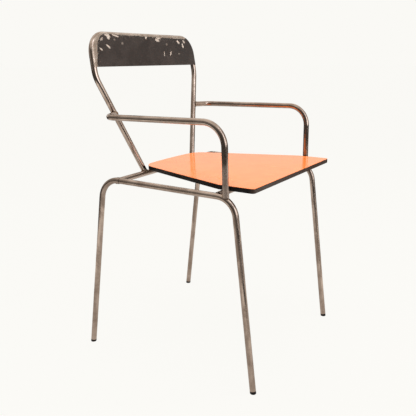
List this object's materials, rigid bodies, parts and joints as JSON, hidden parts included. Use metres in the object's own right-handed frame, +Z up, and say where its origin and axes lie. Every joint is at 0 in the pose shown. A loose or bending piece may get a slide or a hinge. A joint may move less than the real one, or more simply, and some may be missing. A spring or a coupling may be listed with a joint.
{
  "type": "stacking chair",
  "caption": "Stacking armchair: bent steel tube frame with arms, thin tapered laminate seat with black edging, and a dark sheet steel back.",
  "frame": {"origin": "on the floor, under the middle of the chair: the bottom centre of its box", "axes": "+Z up, the chair faces -Y, +X is the left-hand side of someone sitting in it"},
  "size_m": [0.4668, 0.481, 0.7781],
  "materials": {
    "plated_steel": "aged nickel plate on steel tube, dulled and finely scratched",
    "braze": "plated brazed beads, darker and uneven",
    "panel_paint": "charcoal semi-matt paint, chipped to bare steel along its edges",
    "laminate": "glossy orange laminate",
    "plywood": "birch plywood core",
    "backing": "brown resin-paper balancing sheet",
    "edging": "black plastic edging, satin gloss",
    "foot_plastic": "black rubbery plastic, scuffed underneath",
    "zinc_fixing": "dull zinc plated"
  },
  "bodies": {
    "root": {"right_leg_rail": "plated_steel", "left_leg_rail": "plated_steel", "right_rear_leg": "plated_steel", "left_rear_leg": "plated_steel", "right_arm_tube": "plated_steel", "left_arm_tube": "plated_steel", "back_frame_tube": "plated_steel", "rear_cross_tube": "plated_steel", "front_cross_tube": "plated_steel", "seat_tabs": "plated_steel", "rail_butt_welds": "braze", "cross_tube_welds": "braze", "arm_post_welds": "braze", "arm_back_welds": "braze", "back_foot_welds": "braze", "seat_tab_welds": "braze", "back_panel": "panel_paint", "seat_laminate": "laminate", "seat_board": "plywood", "seat_backing_sheet": "backing", "seat_edge_trim": "edging", "right_front_foot_cap": "foot_plastic", "left_front_foot_cap": "foot_plastic", "right_rear_foot_cap": "foot_plastic", "left_rear_foot_cap": "foot_plastic", "seat_screws": "zinc_fixing", "seat_screw_washers": "zinc_fixing", "seat_inserts": "zinc_fixing"}
  },
  "joints": []
}
